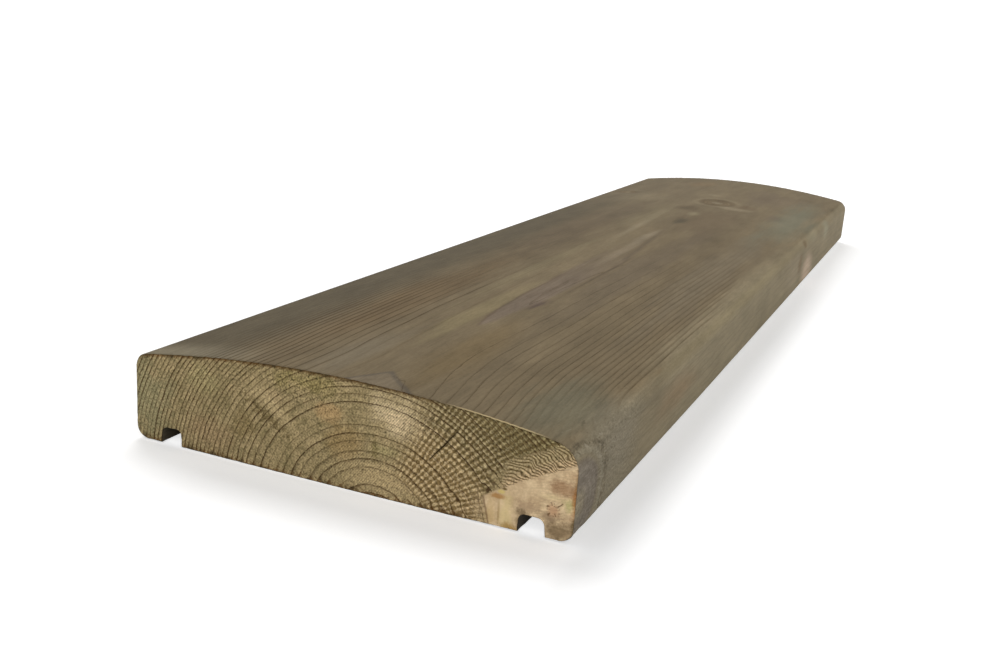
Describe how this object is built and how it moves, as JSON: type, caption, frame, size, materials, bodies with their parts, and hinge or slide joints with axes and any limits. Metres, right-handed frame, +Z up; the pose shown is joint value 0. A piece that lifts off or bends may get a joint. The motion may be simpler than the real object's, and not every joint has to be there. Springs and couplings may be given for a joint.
{
  "type": "decking board",
  "caption": "Short length of crowned softwood decking board with rounded long arrises, square sawn ends and a drip groove near each edge of its underside.",
  "frame": {"origin": "on the underside, midway between the two edges and midway between the two sawn ends", "axes": "+Y along the board's length, +X across its width, +Z up through the crowned face"},
  "size_m": [0.12, 0.45, 0.028],
  "materials": {
    "treated_pine": "planed pressure-treated pine, matt grey-brown with an olive cast, paler and yellower on the sawn ends"
  },
  "bodies": {
    "root": {"deck_board": "treated_pine"}
  },
  "joints": []
}
